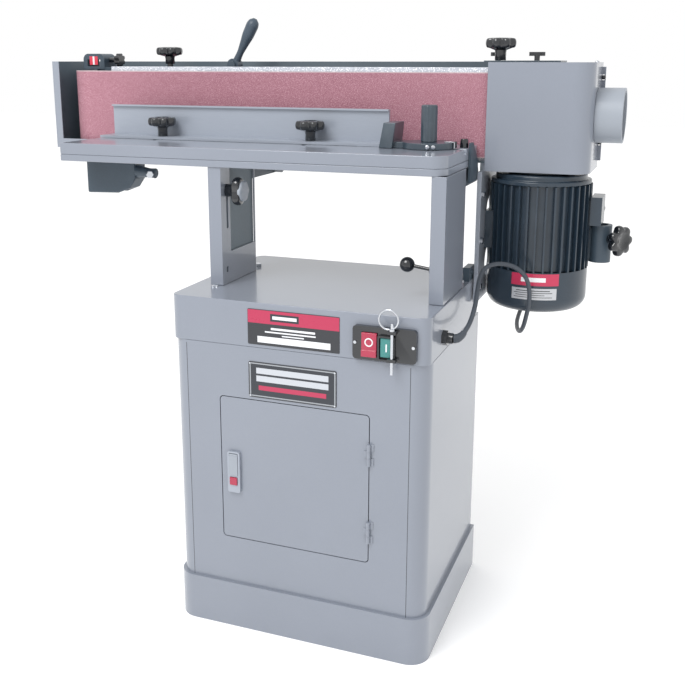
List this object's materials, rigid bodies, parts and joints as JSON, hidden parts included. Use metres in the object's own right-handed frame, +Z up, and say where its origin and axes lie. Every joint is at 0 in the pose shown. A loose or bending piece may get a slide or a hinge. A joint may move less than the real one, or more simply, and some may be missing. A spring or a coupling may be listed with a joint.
{
  "type": "oscillating edge sander",
  "caption": "Floor-standing edge sander: long vertical abrasive belt between two drums, open table with fence and mitre head, hanging motor, dust port and steel cabinet stand.",
  "frame": {"origin": "floor centre under the cabinet's four anchor holes", "axes": "+Z up, the work table and the door face -Y, the drive housing and dust port are at +X"},
  "size_m": [1.1891, 0.5406, 1.0977],
  "materials": {
    "grey_paint": "gloss light blue-grey enamel",
    "fence_metal": "satin machined metal",
    "dark_casting": "dark painted casting",
    "head_paint": "dark slate paint",
    "motor_paint": "dark slate motor enamel",
    "black_plastic": "moulded black plastic",
    "label_black": null,
    "red_plastic": "gloss red plastic",
    "green_plastic": "gloss green plastic",
    "bright_steel": "bright steel",
    "mitre_black": "black painted casting",
    "bar_steel": "ground steel",
    "port_grey": "warm light grey",
    "graphite": "graphite cloth on the platen",
    "abrasive": "dusty rose abrasive on cloth",
    "cord_rubber": "black rubber"
  },
  "bodies": {
    "stand": {"plinth": "grey_paint", "cab_panels": "grey_paint", "cab_front": "grey_paint", "cab_cap": "grey_paint", "door_hinges": "grey_paint", "label_plates": "label_black", "switch_plate": "black_plastic", "switch_box": "black_plastic", "glands": "black_plastic", "inner_posts": "dark_casting", "head_arms": "dark_casting", "stand_bolts": "bright_steel", "tilt_catch": "dark_casting"},
    "door": {"door": "grey_paint", "latch_body": "fence_metal"},
    "latch_paddle": {"latch_paddle": "fence_metal"},
    "latch_button": {"latch_button": "red_plastic"},
    "stop_button": {"stop_button": "red_plastic"},
    "start_button": {"start_button": "green_plastic"},
    "lock_pin": {"lock_pin": "bright_steel"},
    "table": {"table_top": "grey_paint", "table_frame": "grey_paint", "left_column": "grey_paint", "right_column": "grey_paint", "end_bracket": "dark_casting", "end_plate": "dark_casting"},
    "height_knob": {"height_knob": "black_plastic"},
    "height_lever": {"height_lever": "black_plastic"},
    "fence": {"fence": "fence_metal"},
    "fence_knob_l": {"fence_knob_l": "black_plastic"},
    "fence_knob_r": {"fence_knob_r": "black_plastic"},
    "mitre": {"mitre_bar": "bar_steel"},
    "mitre_head": {"mitre_head": "mitre_black"},
    "mitre_handle": {"mitre_handle": "mitre_black"},
    "head": {"head_frame": "head_paint", "platen": "fence_metal", "graphite_pad": "graphite", "drive_housing": "grey_paint", "cover_plate": "mitre_black", "cover_knobs": "black_plastic", "dust_port": "port_grey", "motor_plate": "fence_metal", "motor_frame": "motor_paint", "end_bell": "motor_paint", "fan_cover": "motor_paint", "junction_box": "motor_paint", "clamp_post": "dark_casting", "head_bolts": "bright_steel", "motor_cord": "cord_rubber"},
    "housing_knob": {"housing_knob": "black_plastic"},
    "clamp_knob": {"clamp_knob": "black_plastic"},
    "rotor": {"rotor": "bright_steel"},
    "drive_drum": {"drive_drum": "bar_steel"},
    "carriage": {"carriage": "dark_casting", "belt": "abrasive"},
    "idler_yoke": {"idler_yoke": "dark_casting"},
    "idler_drum": {"idler_drum": "bar_steel"},
    "tension_lever": {"tension_lever": "head_paint"},
    "tracking_knob": {"tracking_knob": "black_plastic"},
    "lock_knob": {"lock_knob": "black_plastic"}
  },
  "joints": [
    {"name": "door_hinge", "type": "hinge", "parent": "stand", "child": "door", "pos_m": [0.135, -0.1865, 0.31], "axis": [0, 0, 1], "range_deg": [0, 110]},
    {"name": "latch_paddle_hinge", "type": "hinge", "parent": "door", "child": "latch_paddle", "pos_m": [-0.115, -0.188, 0.338], "axis": [-1, 0, 0], "range_deg": [0, 60], "stiffness_Nm_per_rad": 0.05},
    {"name": "latch_button_press", "type": "slide", "parent": "door", "child": "latch_button", "axis": [0, 1, 0], "range_m": [0, 0.003], "stiffness_N_per_m": 400},
    {"name": "stop_press", "type": "slide", "parent": "stand", "child": "stop_button", "axis": [0, 1, 0], "range_m": [0, 0.003], "stiffness_N_per_m": 400},
    {"name": "start_press", "type": "slide", "parent": "stand", "child": "start_button", "axis": [0, 1, 0], "range_m": [0, 0.003], "stiffness_N_per_m": 400},
    {"name": "lock_pin_lift", "type": "slide", "parent": "stand", "child": "lock_pin", "axis": [0, 0, 1], "range_m": [0, 0.075]},
    {"name": "table_lift", "type": "slide", "parent": "stand", "child": "table", "axis": [0, 0, 1], "range_m": [0, 0.058]},
    {"name": "height_knob_turn", "type": "hinge", "parent": "stand", "child": "height_knob", "pos_m": [-0.174, -0.0705, 0.788], "axis": [1, 0, 0], "continuous": true},
    {"name": "height_lever_turn", "type": "hinge", "parent": "stand", "child": "height_lever", "pos_m": [0.2, -0.06, 0.6705], "axis": [1, 0, 0], "range_deg": [-90, 90]},
    {"name": "fence_slide", "type": "slide", "parent": "table", "child": "fence", "axis": [0, 1, 0], "range_m": [-0.04, 0.038]},
    {"name": "fence_knob_l_turn", "type": "hinge", "parent": "fence", "child": "fence_knob_l", "pos_m": [-0.378, 0.058, 0.87], "axis": [0, 0, 1], "continuous": true},
    {"name": "fence_knob_r_turn", "type": "hinge", "parent": "fence", "child": "fence_knob_r", "pos_m": [-0.066, 0.058, 0.87], "axis": [0, 0, 1], "continuous": true},
    {"name": "mitre_slide", "type": "slide", "parent": "table", "child": "mitre", "axis": [1, 0, 0], "range_m": [0, 0.008]},
    {"name": "mitre_turn", "type": "hinge", "parent": "mitre", "child": "mitre_head", "pos_m": [0.164, 0.04, 0.87], "axis": [0, 0, 1], "range_deg": [-50, 50]},
    {"name": "mitre_handle_turn", "type": "hinge", "parent": "mitre_head", "child": "mitre_handle", "pos_m": [0.164, 0.04, 0.9], "axis": [0, 0, 1], "continuous": true},
    {"name": "head_tilt", "type": "hinge", "parent": "stand", "child": "head", "pos_m": [0, 0.157, 0.811], "axis": [-1, 0, 0], "range_deg": [0, 90]},
    {"name": "housing_knob_turn", "type": "hinge", "parent": "head", "child": "housing_knob", "pos_m": [0.254, 0.19, 1.03], "axis": [0, 0, 1], "continuous": true},
    {"name": "clamp_knob_turn", "type": "hinge", "parent": "head", "child": "clamp_knob", "pos_m": [0.448, 0.222, 0.694], "axis": [0.8192, -0.5736, 0], "continuous": true},
    {"name": "rotor_spin", "type": "hinge", "parent": "head", "child": "rotor", "pos_m": [0.337, 0.203, 0.7], "axis": [0, 0, 1], "continuous": true},
    {"name": "oscillation", "type": "slide", "parent": "head", "child": "carriage", "axis": [0, 0, 1], "range_m": [0, 0.009]},
    {"name": "drive_drum_spin", "type": "hinge", "parent": "carriage", "child": "drive_drum", "pos_m": [0.337, 0.203, 0.9], "axis": [0, 0, 1], "continuous": true},
    {"name": "idler_tension", "type": "slide", "parent": "carriage", "child": "idler_yoke", "axis": [1, 0, 0], "range_m": [0, 0.012]},
    {"name": "idler_drum_spin", "type": "hinge", "parent": "idler_yoke", "child": "idler_drum", "pos_m": [-0.59616, 0.203, 0.9], "axis": [0, 0, 1], "continuous": true},
    {"name": "tension_lever_swing", "type": "hinge", "parent": "carriage", "child": "tension_lever", "pos_m": [-0.29, 0.203, 1.004], "axis": [0, 1, 0], "range_deg": [-75, 0]},
    {"name": "tracking_turn", "type": "hinge", "parent": "idler_yoke", "child": "tracking_knob", "pos_m": [-0.58, 0.203, 1.014], "axis": [1, 0, 0], "continuous": true},
    {"name": "lock_knob_turn", "type": "hinge", "parent": "carriage", "child": "lock_knob", "pos_m": [-0.44, 0.203, 1], "axis": [0, 0, 1], "continuous": true}
  ],
  "couplings": [
    {"joint": "drive_drum_spin", "follows": "rotor_spin", "ratio": 1},
    {"joint": "idler_drum_spin", "follows": "rotor_spin", "ratio": 1},
    {"joint": "tension_lever_swing", "follows": "idler_tension", "rad_per_m": -109.08}
  ]
}
